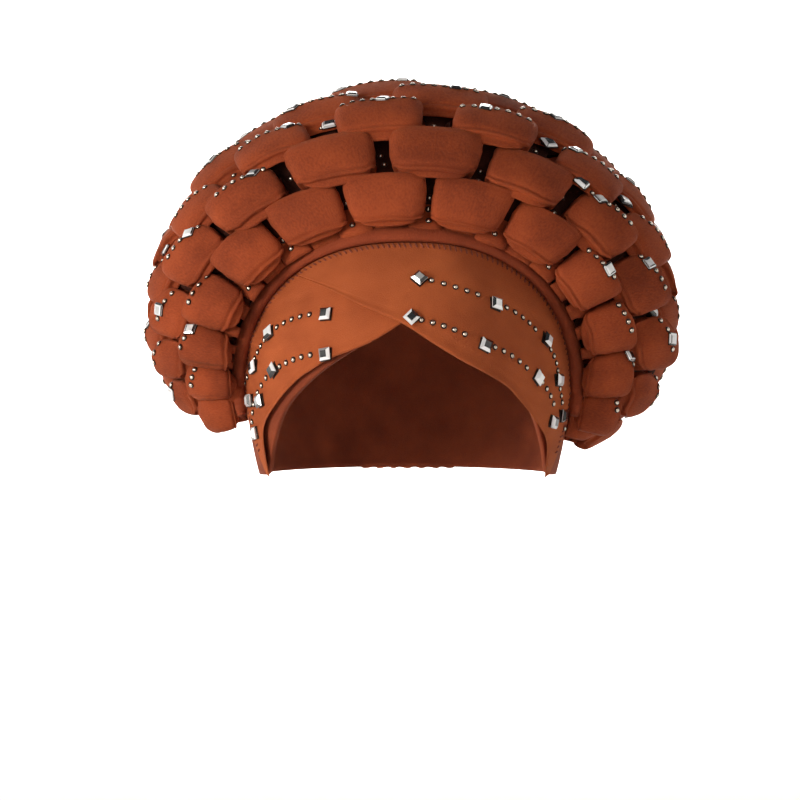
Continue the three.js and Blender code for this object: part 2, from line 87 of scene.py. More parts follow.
SIDE_PITCH_ANGLE = 5.57
TOP_SPREAD = 0.455
BACK_PANEL_WALL = 1.8
BACK_PLEATS = 26
KNOT_RADIUS = 21
KNOT_HEIGHT = 11

# The looks' own: how far the left end of the weave is lifted, in degrees, and how much further
# the crown reaches to the right, as a share of its reach.
LEFT_END_LIFT = 6.6
CROWN_SWAY = 0.02

# Where the dome stands widest, by the angle above the side: angle, share of the crown's reach.
REACH = [
    (-24, 0.585),
    (-18, 0.62),
    (-12, 0.68),
    (-6, 0.755),
    (0, 0.82),
    (15, 0.91),
    (30, 0.96),
    (50, 0.99),
    (90, 1),
]


def sine(degrees):
    return math.sin(math.radians(degrees))


def cosine(degrees):
    return math.cos(math.radians(degrees))


def above_side(angle):
    """An angle measured up from its own side, the left or the right."""
    return 180 - angle if angle > 90 else angle


def linear(hex_colour):
    """The linear colour of an sRGB hex value."""
    values = [int(hex_colour[i : i + 2], 16) / 255 for i in (1, 3, 5)]
    return [v / 12.92 if v <= 0.04045 else ((v + 0.055) / 1.055) ** 2.4 for v in values] + [1]


def smoothstep(low, high, x):
    t = min(max((x - low) / (high - low), 0), 1)
    return t * t * (3 - 2 * t)


def read_table(rows, key):
    """The value at a key of a table with two columns, on a smooth curve through its rows."""
    last = len(rows) - 1
    i = 0
    while i < last - 1 and key > rows[i + 1][0]:
        i += 1
    (x0, y0), (x1, y1) = rows[i], rows[i + 1]
    before = rows[max(i - 1, 0)]
    after = rows[min(i + 2, last)]
    step = x1 - x0
    t = min(max((key - x0) / step, 0), 1)
    leaving = (y1 - before[1]) / (x1 - before[0]) * step
    arriving = (after[1] - y0) / (after[0] - x0) * step
    rise = y1 - y0
    return (
        y0
        + leaving * t
        + (3 * rise - 2 * leaving - arriving) * t * t
        + (leaving + arriving - 2 * rise) * t**3
    )


# The camera.


def place_camera():
    camera_data = bpy.data.cameras.new("camera")
    camera = bpy.data.objects.new("camera", camera_data)
    bpy.context.scene.collection.objects.link(camera)
    seen_width = FRAME_PIXELS * PIXEL_SIZE
    reach = CAMERA_DISTANCE + FACE_DEPTH
    camera_data.sensor_width = 36
    camera_data.lens = 36 * reach / seen_width
    middle = FRAME_PIXELS / 2
    aim = Vector(((middle - MIDDLE_COLUMN) * PIXEL_SIZE, 0, (EYE_ROW - middle) * PIXEL_SIZE))
    tilt = math.radians(CAMERA_RISE_ANGLE)
    camera.location = aim + Vector((0, -math.cos(tilt), math.sin(tilt))) * CAMERA_DISTANCE
    camera.rotation_euler = (math.pi / 2 - tilt, 0, 0)
    camera_data.clip_end = 20
    bpy.context.scene.camera = camera


place_camera()


# The forms that the pieces follow.


def head_point(turn, level, lift):
    """A point of the head's form, by the turn from the face and its height, lifted off the cap."""
    reach = CROWN_RISE if level > WIDEST_LEVEL else LOWER_DROP
    height = (level - WIDEST_LEVEL) / reach
    roundness = math.sqrt(max(1 - height * height, 0))
    return Vector((
        (HEAD_HALF_WIDTH * roundness + lift) * math.sin(turn),
        -(HEAD_HALF_LENGTH * roundness + lift) * math.cos(turn),
        level,
    ))


def brow_point(x, z, lift):
    """The point of the face side behind a place seen from the front, lifted off the cap."""
    reach = (CROWN_RISE if z > WIDEST_LEVEL else LOWER_DROP) + lift
    height = (z - WIDEST_LEVEL) / reach
    across = x / (HEAD_HALF_WIDTH + lift)
    depth = math.sqrt(max(1 - across * across - height * height, 0))
    return Vector((x, -(HEAD_HALF_LENGTH + lift) * depth, z))


def brow_normal(x, z, lift):
    """The way the face side looks at that point."""
    reach = (CROWN_RISE if z > WIDEST_LEVEL else LOWER_DROP) + lift
    p = brow_point(x, z, lift)
    return Vector((
        p.x / (HEAD_HALF_WIDTH + lift) ** 2,
        p.y / (HEAD_HALF_LENGTH + lift) ** 2,
        (z - WIDEST_LEVEL) / reach**2,
    )).normalized()


def seam_outline(angle, margin):
    """The seam above the panels, seen from the front, with a margin outside it."""
    side = -1 if angle > 90 else 1
    rise = above_side(angle)
    if rise < 0:
        share = -rise / SIDE_TIP_DROP
        x = SEAM_HALF_WIDTH + margin - SIDE_TIP_INSET * share**1.6
        return side * x, CENTRE_LEVEL + rise
    power = 2 / SQUARENESS
    x = (SEAM_HALF_WIDTH + margin) * cosine(rise) ** power
    z = (SEAM_HALF_HEIGHT + margin) * sine(rise) ** power
    return side * x, CENTRE_LEVEL + z


def rim_radius(angle):
    """How far the rim of the weave lies from the middle, seen from the front."""
    rise = above_side(angle)
    across = abs(cosine(rise)) / (SEAM_HALF_WIDTH + RIM_MARGIN)
    up = abs(sine(rise)) / (SEAM_HALF_HEIGHT + RIM_MARGIN)
    radius = (across**SQUARENESS + up**SQUARENESS) ** (-1 / SQUARENESS)
    return radius * (1 + rise * 0.002) if rise < 0 else radius


crown_curves = {}


def crown_curve(angle):
    """The curve that the crown follows at an angle: reach, depth and length so far."""
    key = round(angle, 2)
    if key in crown_curves:
        return crown_curves[key]
    rise = above_side(key)
    rim = rim_radius(key)
    sway = 1 + CROWN_SWAY * cosine(key)
    widest = max(CROWN_REACH * read_table(REACH, rise) * sway, rim + 1)
    depth_range = RIM_DEPTH_TOP - RIM_DEPTH_SIDE
    rim_depth = -(RIM_DEPTH_SIDE + depth_range * sine(rise))
    low = smoothstep(0, SIDE_FALL_ANGLE, -rise)
    widest_depth = WIDEST_DEPTH * (1 - 1.25 * low)
    back_depth = BACK_DEPTH + (HEAD_HALF_LENGTH + BACK_MARGIN - BACK_DEPTH) * low
    steps = 40
    points = []
    for i in range(2 * steps + 1):
        turn = (i if i < steps else i - steps) / steps * math.pi / 2
        if i < steps:
            reach = rim + (widest - rim) * math.sin(turn)
            depth = rim_depth + (widest_depth - rim_depth) * (1 - math.cos(turn))
        else:
            reach = widest * math.cos(turn)
            depth = widest_depth + (back_depth - widest_depth) * math.sin(turn)
        length = 0
        if points:
            length = points[-1][2] + math.hypot(reach - points[-1][0], depth - points[-1][1])
        points.append((reach, depth, length))
    crown_curves[key] = points
    return points


def row_length(row, angle):
    """Where a row of the weave lies along the curve at an angle."""
    woven = HOOP_PITCH * HOOP_COUNT / crown_curve(90)[-1][2]
    length = crown_curve(angle)[-1][2] * woven
    crowding = min(HOOP_PITCH * HOOP_COUNT / length, 1.3)
    share = row / HOOP_COUNT
    if share < 0 or share > 1:
        return share * length
    return length * (1 - (1 - share) ** crowding)


def crown_point(angle, length, lift):
    """A point of the crown at an angle and a length along its curve, lifted outwards."""
    curve = crown_curve(angle)
    low, high = 1, len(curve) - 1
    while low < high:
        middle = (low + high) // 2
        if curve[middle][2] < length:
            low = middle + 1
        else:
            high = middle
    i = low
    a, b = curve[i - 1], curve[i]
    share = (length - a[2]) / (b[2] - a[2])
    before, after = curve[max(i - 2, 0)], curve[min(i + 1, len(curve) - 1)]
    run = math.hypot(after[0] - before[0], after[1] - before[1])
    reach = a[0] + (b[0] - a[0]) * share + (after[1] - before[1]) / run * lift
    depth = a[1] + (b[1] - a[1]) * share - (after[0] - before[0]) / run * lift
    turn = math.radians(angle)
    return Vector((reach * math.cos(turn), depth, CENTRE_LEVEL + reach * math.sin(turn)))


def column_angle(column):
    """The angle of a column of the weave, counted from the left side."""
    half = (COLUMN_COUNT - 1) / 2
    x = (column - half) / half
    side = SIDE_PITCH_ANGLE * half
    spread = (SIDE_COLUMN_ANGLE - side) / math.tanh(1 / TOP_SPREAD)
    lifted = LEFT_END_LIFT * (1 - smoothstep(-2, 5, column))
    return 90 - side * x - spread * math.tanh(x / TOP_SPREAD) - lifted


@functools.lru_cache(maxsize=None)
def column_pitch(column, row):
    """How far apart the columns lie at a row, in millimetres."""
    ends = []
    for c in (column - 0.5, column + 0.5):
        angle = column_angle(c)
        ends.append(crown_point(angle, row_length(row, angle), 0))
    return (ends[1] - ends[0]).length


# Materials.


def add_node(tree, kind, settings=None, **links):
    """Adds a node. Each link joins or sets the socket of that name, with an underscore for a
    space, or the one of that number after an n."""
    node = tree.nodes.new(kind)
    for key, value in (settings or {}).items():
        setattr(node, key, value)
    for key, value in links.items():
        socket = node.inputs[int(key[1:]) if key[1:].isdigit() else key.replace("_", " ")]
        if isinstance(value, bpy.types.NodeSocket):
            tree.links.new(value, socket)
        else:
            socket.default_value = value
    return node


def new_material(name, **values):
    """A material with its shader, on which what is the same all over is set."""
    material = bpy.data.materials.new(name)
    material.use_nodes = True
    tree = material.node_tree
    tree.nodes.clear()
    shader = add_node(tree, "ShaderNodeBsdfPrincipled", **values)
    output = add_node(tree, "ShaderNodeOutputMaterial")
    tree.links.new(shader.outputs["BSDF"], output.inputs["Surface"])
    return material, tree, shader


def density(size):
    """How many repeats of a pattern of this size in millimetres go in a metre."""
    return 1 / (size * MM)


def scuba_knit(name, light, deep):
    """Air-layer scuba knit, printed plain: a matt, slightly spongy polyester face with a very fine
    cross rib, a soft bloom at grazing angles, and a colour that wanders a little."""
    material, tree, shader = new_material(
        name, Roughness=0.86, Specular_IOR_Level=0.16, Sheen_Weight=0.1, Sheen_Roughness=0.45,
        Sheen_Tint=linear("#d88a5c"),
    )
    uv = add_node(tree, "ShaderNodeUVMap", {"uv_map": "cloth"}).outputs["UV"]
    place = add_node(tree, "ShaderNodeTexCoord").outputs["Object"]
    drift = add_node(tree, "ShaderNodeTexNoise", Vector=place, Scale=density(26.3), Detail=3.0)
    # The rib and the pile are about 0.3 mm in the cloth. They are drawn coarser, the rib 0.5 mm
    # wide in runs of 0.77 mm and the pile 0.67 mm, so that they show.
    ribs = (density(0.77), density(0.5), 1.0)
    stretch = add_node(tree, "ShaderNodeMapping", Vector=uv, Scale=ribs).outputs["Vector"]
    rib = add_node(tree, "ShaderNodeTexNoise", Vector=stretch, Scale=1.0, Detail=2.0)
    pile = add_node(tree, "ShaderNodeTexNoise", Vector=place, Scale=density(2 / 3), Detail=2.0)
    blend = add_node(
        tree, "ShaderNodeMath", {"operation": "MULTIPLY_ADD"},
        n0=rib.outputs["Fac"], n1=0.7, n2=drift.outputs["Fac"],
    )
    span = add_node(tree, "ShaderNodeMapRange", Value=blend.outputs[0], From_Min=0.62, From_Max=1.08)
    colour = add_node(
        tree, "ShaderNodeMix", {"data_type": "RGBA"}, n0=span.outputs["Result"],
        n6=linear(deep), n7=linear(light),
    )
    grain = add_node(
        tree, "ShaderNodeMath", {"operation": "MULTIPLY_ADD"},
        n0=pile.outputs["Fac"], n1=0.4, n2=rib.outputs["Fac"],
    )
    bump = add_node(tree, "ShaderNodeBump", Strength=0.6, Distance=0.4 * MM, Height=grain.outputs[0])
    tree.links.new(colour.outputs[2], shader.inputs["Base Color"])
    tree.links.new(bump.outputs["Normal"], shader.inputs["Normal"])
    return material


def foiled_crystal(name, tint):
    """Machine-cut resin crystal with a silvered back. Its glints are painted: each flat facet's base
    colour is set bright or dark by a noise of its normal, standing in for its reflection."""
    material, tree, shader = new_material(
        name, Metallic=0.15, Roughness=0.1, Coat_Weight=1.0, Coat_Roughness=0.03
    )
    # Painted glints: a bright or dark base colour for each facet, picked by its normal.
    facing = add_node(tree, "ShaderNodeNewGeometry").outputs["True Normal"]
    spread = add_node(tree, "ShaderNodeTexNoise", Vector=facing, Scale=5.5, Detail=1.0)
    painted_glint = add_node(
        tree, "ShaderNodeMapRange", Value=spread.outputs["Fac"], From_Min=0.45, From_Max=0.5
    )
    colour = add_node(
        tree, "ShaderNodeMix", {"data_type": "RGBA"}, n0=painted_glint.outputs["Result"],
        n6=linear("#24272b"), n7=linear(tint),
    )
    tree.links.new(colour.outputs[2], shader.inputs["Base Color"])
    return material


def mottled_material(name, size, detail, deep, light, **values):
    """A material of two tones that mingle in spots of this size in millimetres."""
    material, tree, shader = new_material(name, **values)
    place = add_node(tree, "ShaderNodeTexCoord").outputs["Object"]
    spots = add_node(tree, "ShaderNodeTexNoise", Vector=place, Scale=density(size), Detail=detail)
    colour = add_node(
        tree, "ShaderNodeMix", {"data_type": "RGBA"}, n0=spots.outputs["Fac"],
        n6=linear(deep), n7=linear(light),
    )
    tree.links.new(colour.outputs[2], shader.inputs["Base Color"])
    return material


def plated_stud(name):
    """Pressed nailhead stud in pale champagne plate, polished, with faint tarnish mottled over it.
    """
    return mottled_material(name, 2.38, 2.0, "#b9a894", "#f4ece2", Metallic=1.0, Roughness=0.2)


def painted_shadow_cup(name):
    """Dark metal cups under the studs and crystals, near-black: a painted shadow line around each.
    """
    return mottled_material(name, 1.43, 2.0, "#1a100c", "#3d281d", Metallic=0.6, Roughness=0.45)


def overlock_thread(name):
    """Spun polyester thread in a tone under the cloth's, soft and matt, mottled by its ply."""
    return mottled_material(name, 0.417, 1.0, "#4f1f12", "#8a4027", Roughness=0.8)


RUST_KNIT = scuba_knit("rust_scuba_knit", "#984424", "#74311a")
PANEL_KNIT = scuba_knit("smooth_rust_scuba_knit", "#ae5830", "#944726")
# Painted shade: a near-black copy of the rust knit, for the cross bands deep in the gaps.
PAINTED_SHADE_KNIT = scuba_knit("painted_shade_rust_knit", "#3a160b", "#220a05")
# Partly painted shade: the binding's rust knit is darker than the panels' for the shade under the
# puffs.
SHADED_BINDING_KNIT = scuba_knit("ruched_knit_painted_shade", "#8c3e24", "#74321d")
CAP_KNIT = scuba_knit("cap_lining_knit", "#8c4228", "#6f3220")
CRYSTAL = foiled_crystal("foiled_crystal", "#f4f6fa")
STUD = plated_stud("champagne_plated_stud")
CUP = painted_shadow_cup("dark_cup_painted_shadow")
THREAD = overlock_thread("overlock_thread")


# Making the pieces.


def finish_piece(bm, name, material):
    """Makes a mesh the finished object of a piece, in its place, on the one body."""
    mesh = bpy.data.meshes.new(name)
    bm.to_mesh(mesh)
    bm.free()
    piece = bpy.data.objects.new(name, mesh)
    bpy.context.scene.collection.objects.link(piece)
    mesh.materials.append(material)
    mesh.shade_smooth()
    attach(piece, "root")
    return piece


def cloth_piece(name, node, material, grid, size, place, capped=True):
    """Makes a closed piece of cloth in a node's stead: a tube by place(u, v), with u round it and
    v along it from 0 to 1, and a UV map in metres by its size round and along."""
    bm = bmesh.new()
    bmesh.ops.create_grid(bm, x_segments=grid[0], y_segments=grid[1], size=0.5)
    uv = bm.loops.layers.uv.new("cloth")
    for face in bm.faces:
        for loop in face.loops:
            u, v = loop.vert.co.x + 0.5, loop.vert.co.y + 0.5
            loop[uv].uv = (u * size[0] * MM, v * size[1] * MM)
    ends = [[], []]
    for vert in bm.verts:
        u, v = vert.co.x + 0.5, vert.co.y + 0.5
        if capped and (v < 1e-6 or v > 1 - 1e-6) and u < 1 - 1e-6:
            ends[int(v > 0.5)].append((u, vert))
        vert.co = place(u, v) * MM
    bmesh.ops.remove_doubles(bm, verts=bm.verts, dist=1e-7)
    if capped:
        for end in ends:
            ring = sorted(end, key=lambda item: item[0])
            bm.faces.new([vert for _, vert in ring if vert.is_valid])
    bmesh.ops.recalc_face_normals(bm, faces=bm.faces)
    piece = finish_piece(bm, name, material)
    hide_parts(node)
    return piece


# Across a hoop band: place from the front edge to the back one, and height off the middle of
# its thickness in millimetres. The face ends in a seam, and a second layer shows as a lip in
# front of it.
HOOP_SECTION = [
    (-0.93, -0.5),
    (-0.965, 0.5),
    (-0.96, 1.4),
    (-0.91, 1.95),
    (-0.845, 2.05),
    (-0.8, 1.1),
    (-0.755, 2.05),
    (-0.6, 2.3),
    (-0.3, 2.5),
    (0.0, 2.55),
    (0.3, 2.5),
    (0.6, 2.35),
    (0.8, 2.15),
    (0.85, 1.85),
    (0.9, 2.0),
    (0.97, 1.7),
    (1.01, 1.0),
    (1.0, -0.8),
    (0.88, -1.5),
    (0.4, -1.7),
    (-0.4, -1.7),
    (-0.85, -2.1),
    (-1.12, -2.1),
    (-1.24, -1.5),
    (-1.16, -0.85),
    (-1.0, -0.95),
]
LIP_START = -0.97

# How far the band reaches across its row, as shares of that section: its front half in a dip, on
# a puff and on a puff of the first hoop, its back half on a puff, and the lip in a dip. The first
# hoop is narrower as a whole, and its ends slip in under the rim by a part of a row.
DIP_FRONT = 0.74
PUFF_FRONT = 1.26
FIRST_PUFF_FRONT = 1.1
PUFF_BACK = 1.04
DIP_LIP = 0.2
FIRST_HOOP_SHARE = 0.86
FIRST_HOOP_TUCK = 0.24

# How much of its thickness the band keeps in a dip, and how much higher a puff stands at its
# front edge than in its middle, in millimetres, on the first hoop and on the others.
DIP_PLUMPNESS = 0.62
FIRST_PUFF_TILT = 0.3
PUFF_TILT = 1.7

# The round corners of a puff's front edge: the power of the round, and the columns it takes.
CORNER_ROUNDNESS = 2.4
CORNER_RUN = 0.28

# How wide the puffs of each hoop are along it, as a share of the plain rise below.
PUFF_SPREAD = [1.05, 1.0, 0.84, 0.88, 0.94, 1, 1, 1, 1]

# On the flanks: how many columns the puffs hang down over their lower ends, and how much fuller
# they are at the lower end and flatter at the upper one, as shares of their height.
FLANK_DROOP = 0.22
FULLER_LOWER_END = 0.18
SUNKEN_UPPER_END = 0.6

# How each hoop lies over the top and at the sides: how far its front half leans down and its
# back half up, and how much lower it stands, in millimetres.
TOP_LEAN = [0, 0.3, 1.6, 4.4, 4.6, 2.6, 0, 0, 0]
TOP_SINK = [0, 0, 0.4, 2.2, 3.0, 1.6, 0, 0, 0]
SIDE_LEAN = [0.6, 4.2, 4.0, 1.0, 0, 0, 0, 0, 0]
SIDE_SINK = [0, 1.6, 5.0, 4.6, 3.4, 2, 0, 0, 0]

# Half of one rise of a hoop band, from the middle of a dip to the top of a puff: columns, and
# height in millimetres.
PUFF_RISE = [
    (0.0, -3.5),
    (0.18, -3.5),
    (0.3, -2.6),
    (0.31, 0.6),
    (0.27, 3.6),
    (0.235, 6.8),
    (0.25, 8.8),
    (0.33, 10.0),
    (0.5, 10.6),
    (0.75, 10.9),
    (1.0, 11.0),
]

# The steps of the curve between two of those rows, half the thickness of a puff's side wall, the
# way round a hoop's section, and the cloth between two points of its path, in millimetres.
RISE_STEPS = 3
WALL_HALF = 2.9
HOOP_GIRTH = 52
STEP_LENGTH = 24 / 27


def curve_at(points, share):
    """The point at a share of the way along a smooth curve through these points."""
    last = len(points) - 1
    i = min(int(share * last), last - 1)
    t = share * last - i
    near = [points[min(max(k, 0), last)] for k in range(i - 1, i + 3)]
    return [
        b + 0.5 * t * (c - a + t * (2 * a - 5 * b + 4 * c - d + t * (3 * b - a - 3 * c + d)))
        for a, b, c, d in zip(*near)
    ]


def hoop_ends(number):
    """The columns at the two ends of a hoop band. It dips there and at every other one between."""
    return (-1, COLUMN_COUNT + 1) if number % 2 == 0 else (-2, COLUMN_COUNT)


def hoop_path(number, chance):
    """The line that a hoop band follows, as column, height, and how the puff there is set."""
    first, last = hoop_ends(number)
    tilt = FIRST_PUFF_TILT if number == 1 else PUFF_TILT
    steps = RISE_STEPS * (len(PUFF_RISE) - 1)
    half = [curve_at(PUFF_RISE, k / steps) for k in range(steps + 1)]
    whole = half + [(2 - x, height) for x, height in reversed(half[:-1])]
    path = []
    for dip in range(first, last, 2):
        swell = chance.uniform(0.9, 1.08)
        lean = chance.uniform(-0.7, 0.7) - tilt
        slide = chance.uniform(-0.035, 0.035)
        shift = chance.uniform(-0.02, 0.03)
        plump = chance.uniform(0.9, 1.12)
        lip = chance.uniform(0.6, 1.25)
        for x, height in whole[:-1]:
            from_end = min(dip + x - first, last - dip - x)
            side = 0.5 + 0.5 * smoothstep(0, 6, from_end)
            up = smoothstep(-3.4, 4, height)
            fall = cosine(column_angle(dip + x))
            spread = 1 + (PUFF_SPREAD[number - 1] - 1) * up
            if height > 0:
                sag = (x - 1) * fall
                height *= 1 + FULLER_LOWER_END * sag - SUNKEN_UPPER_END * max(-sag, 0) ** 1.3
                height *= swell * side
            path.append({
                "column": dip + 1 + (x - 1) * spread + (slide + FLANK_DROOP * fall) * up,
                "height": height,
                "from_dip": min(x, 2 - x),
                "lean": lean * up,
                "shift": shift * up,
                "plump": DIP_PLUMPNESS + (plump - DIP_PLUMPNESS) * up,
                "lip": lip,
            })
    path.append({
        "column": last,
        "height": PUFF_RISE[0][1],
        "from_dip": 0,
        "lean": 0,
        "shift": 0,
        "plump": DIP_PLUMPNESS,
        "lip": 1,
    })
    return path


def make_hoop(number):
    chance = random.Random(40 + number)
    row = number - 0.5
    path = hoop_path(number, chance)
    for point in path:
        inset = min(max((point["from_dip"] - 0.22) / CORNER_RUN, 0), 1)
        rounded = (1 - (1 - inset) ** CORNER_ROUNDNESS) ** (1 / CORNER_ROUNDNESS)
        point["corner"] = rounded * smoothstep(-3, 6, point["height"])
        point["belly"] = smoothstep(0.24, 0.8, point["from_dip"])
        pitch = column_pitch(point["column"], row)
        point["pitch"] = pitch
        # The two walls beside a dip stay apart where the columns are close.
        if point["height"] > 1 and point["from_dip"] < 0.5:
            room = WALL_HALF / pitch - point["from_dip"]
            if room > 0:
                near_dip = round((point["column"] + number + 1) / 2) * 2 - number - 1
                away = 1 if point["column"] > near_dip else -1
                point["column"] += away * room
    sides = []
    for i, point in enumerate(path):
        before, after = path[max(i - 1, 0)], path[min(i + 1, len(path) - 1)]
        run = Vector((
            (after["column"] - before["column"]) * point["pitch"],
            after["height"] - before["height"],
        ))
        run = run.normalized() if run.length > 1e-6 else Vector((1, 0))
        sides.append(Vector((-run.y, run.x)))
    count = len(HOOP_SECTION)
    last = len(path) - 1

    def place(u, v):
        i = round(v * last)
        point, side = path[i], sides[i]
        across, thick = HOOP_SECTION[round(u * count) % count]
        thick *= point["plump"]
        if across < LIP_START:
            reach = DIP_LIP + (point["lip"] - DIP_LIP) * point["belly"]
            across = LIP_START + (across - LIP_START) * reach
        if across < 0:
            front = FIRST_PUFF_FRONT if number == 1 else PUFF_FRONT
            across *= DIP_FRONT + (front - DIP_FRONT) * point["corner"]
        else:
            across *= 1 + (PUFF_BACK - 1) * point["corner"]
        across *= FIRST_HOOP_SHARE if number == 1 else 1
        if thick > 0:
            gather = math.sin(across * 13 + i * 0.35)
            gather += 0.6 * math.sin(across * 23 - i * 0.2 + number)
            thick += 0.22 * gather * (1 - point["corner"])
            thick += 0.16 * math.sin(across * 3.1 + point["column"] * 4.3 + number * 1.7)
            thick += 0.1 * math.sin(across * 6.3 - point["column"] * 7.1 + number)
        column = point["column"] + side.x * thick / point["pitch"]
        height = point["height"] + side.y * thick + point["lean"] * across
        angle = column_angle(column)
        on_top = smoothstep(0.3, 0.95, sine(angle))
        top = on_top * smoothstep(-2, 5, point["height"])
        flank = (1 - on_top) * point["corner"]
        height += top * (TOP_LEAN[number - 1] * across - TOP_SINK[number - 1])
        height += flank * (SIDE_LEAN[number - 1] * across - SIDE_SINK[number - 1])
        edge = across * HOOP_COVER / 2 + point["shift"]
        if number == 1:
            from_end = min(point["column"] + 1, COLUMN_COUNT - point["column"])
            edge -= FIRST_HOOP_TUCK * (1 - smoothstep(1, 5, from_end))
        return crown_point(angle, row_length(row + edge, angle), height)

    piece = cloth_piece(
        "hoop_cloth_%02d" % number, "hoop_band_%02d" % number, RUST_KNIT,
        (count, last), (HOOP_GIRTH, STEP_LENGTH * last), place,
    )
    return piece


hoops = [make_hoop(number) for number in range(1, HOOP_COUNT + 1)]


# The lower edge and the seam of each forehead panel, by sections from the side tip on: across and
# up as shares of the seam's half sizes, and the angle of the seam above.
RIGHT_PANEL = [
    (0.823, -0.58, -41),
    (0.833, -0.34, -26),
    (0.756, -0.177, -10),
    (0.67, -0.054, 3),
    (0.58, 0.054, 16),
    (0.44, 0.15, 31),
    (0.31, 0.228, 46),
    (0.146, 0.34, 61),
    (-0.024, 0.462, 76),
    (-0.16, 0.53, 90),
    (-0.293, 0.594, 103),
    (-0.47, 0.69, 117),
    (-0.66, 0.775, 127),
]
LEFT_PANEL = [
    (-0.833, -0.58, 221),
    (-0.868, -0.34, 206),
    (-0.855, -0.2, 192),
    (-0.765, -0.04, 178),
    (-0.66, 0.088, 164),
    (-0.57, 0.16, 150),
    (-0.472, 0.228, 137),
    (-0.36, 0.28, 125),
    (-0.24, 0.334, 113),
    (-0.12, 0.41, 101),
    (0.0, 0.5, 90),
    (0.12, 0.6, 80),
]

# The height of the cap's lower edge by the turn from the face, as a share of the drop from the
# widest level to the nape.
CAP_EDGE = [
    (0, 0.54),
    (18, 0.24),
    (33, -0.02),
    (48, -0.34),
    (58, -0.68),
    (66, -0.94),
    (78, -1),
    (180, -1),
]


def wall_ring(steps):
    """Round the section of a cloth wall: the share of its width, and the side it lies on, from 1
    on the face through a round edge to 0 on the back."""
    face = [(k / steps, 1) for k in range(steps + 1)]
    back = [(k / steps, 0) for k in range(steps, -1, -1)]
    return face + [(1.006, 0.5)] + back + [(-0.006, 0.5)]


def right_panel_seat(x):
    far = smoothstep(0.3 * SEAM_HALF_WIDTH, 0.65 * SEAM_HALF_WIDTH, x)
    return LAYER_GAP + (PANEL_WALL + LAYER_GAP) * (1 - far)


def left_panel_seat(_):
    return LAYER_GAP


# The turned hem at a panel's lower edge, on a panel about 60 mm deep: how much it stands up and
# how far in, and how deep, how far in and how wide the groove of its stitching is.
PANEL_DEPTH = 60
HEM_RISE = 0.45
HEM_WIDTH = 3.2
HEM_GROOVE = 0.25
HEM_STITCHING = 5
HEM_STITCHING_WIDTH = 1.4


def panel_hem(share):
    inset = share * PANEL_DEPTH
    groove = HEM_GROOVE * math.exp(-(((inset - HEM_STITCHING) / HEM_STITCHING_WIDTH) ** 2))
    return HEM_RISE * math.exp(-((inset / HEM_WIDTH) ** 2)) - groove


def panel_fold(x, z):
    """The soft pull folds of the panels, which run from the side tips up to the crossing."""
    side = abs(x) / SEAM_HALF_WIDTH
    slope = z - 0.45 * (SEAM_HALF_WIDTH - abs(x))
    pull = 0.22 * math.sin(slope * 0.36 + x * 0.02) + 0.16 * math.sin(slope * 0.83 + x * 0.05 + 1)
    return pull * smoothstep(0.1, 0.9, side)


def make_panel(name, node, sections, seat, flat):
    ring = wall_ring(34)
    count = len(ring)

    def place(u, v):
        share, side = ring[round(u * count) % count]
        across, up, seam = curve_at(sections, v)
        low = (across * SEAM_HALF_WIDTH, CENTRE_LEVEL + up * SEAM_HALF_HEIGHT)
        high = seam_outline(seam, -0.5)
        x = low[0] + (high[0] - low[0]) * share
        z = low[1] + (high[1] - low[1]) * share
        fold = panel_fold(x, z) * smoothstep(0, 0.1, share)
        lift = seat(x) + side * (PANEL_WALL + panel_hem(share) + fold)
        return brow_point(x, z, lift)

    size = (2 * flat[0] / MM, flat[1] / MM)
    piece = cloth_piece(name, node, PANEL_KNIT, (count, 150), size, place)
    return piece


right_panel = make_panel(
    "right_forehead_panel", "forehead_panel_right", RIGHT_PANEL, right_panel_seat, (0.07, 0.24),
)
left_panel = make_panel(
    "left_forehead_panel", "forehead_panel_left", LEFT_PANEL, left_panel_seat, (0.065, 0.2),
)


def make_binding():
    """The roll of ruched cloth along the seam, gathered fine on its seam side. Its middle lies a
    margin outside the seam, less at the sides, where it also comes forward."""
    chance = random.Random(7)
    waves = [
        (chance.uniform(0.9, 1.5), chance.uniform(0, 6.28), chance.uniform(0.4, 1))
        for _ in range(9)
    ]
    girth = 18
    length = 345
    half_width = 5.2
    half_height = 3.0
    margin = 3.9
    side_inset = 1.9
    lift = 4.6
    forward = 3.2

    @functools.lru_cache(maxsize=None)
    def centre(angle):
        beside = cosine(angle) ** 2
        x, z = seam_outline(angle, margin - side_inset * beside)
        return brow_point(x, z, lift) - Vector((0, forward * beside, 0))

    def place(u, v):
        angle = BINDING_END_ANGLE + (180 - 2 * BINDING_END_ANGLE) * v
        p = centre(angle)
        ahead = (centre(angle + 0.7) - centre(angle - 0.7)).normalized()
        out = brow_normal(p.x, p.z, lift)
        beside = ahead.cross(out).normalized()
        turn = u * 2 * math.pi
        gather = sum(math.sin(v * length * 3.0 * f + phase) * a for f, phase, a in waves) / 6
        seam_side = 0.5 + 0.5 * math.cos(turn)
        crease = gather * (0.05 + 0.26 * seam_side**2)
        end = smoothstep(0, 0.02, v) * smoothstep(0, 0.02, 1 - v)
        size = 0.6 + 0.4 * end
        on_top = sine(max(min(angle, 180), 0))
        across = (half_width * (0.92 + 0.08 * on_top) + crease) * size * math.cos(turn)
        above = (half_height + 0.8 * (1 - on_top) + crease) * size * math.sin(turn)
        return p + beside * across + out * above

    piece = cloth_piece(
        "ruched_brow_binding", "brow_binding", SHADED_BINDING_KNIT, (28, 900),
        (girth, length), place,
    )


make_binding()


# How many columns the outermost cross bands spread outwards, to close the crown's lower ends.
END_SPREAD = 1.75

# The cross bands: their widths between two puffs and at the rim, at the most, the way round
# them, their length, and the share of it at the rim that is in the plain rust cloth; the rest is
# a near-black copy of the knit, painted shade for the gaps between the puffs.
CROSS_NARROW = 10
CROSS_FULL = 30
CROSS_GIRTH = 24
CROSS_LENGTH = 230
LIT_SHARE = 0.055


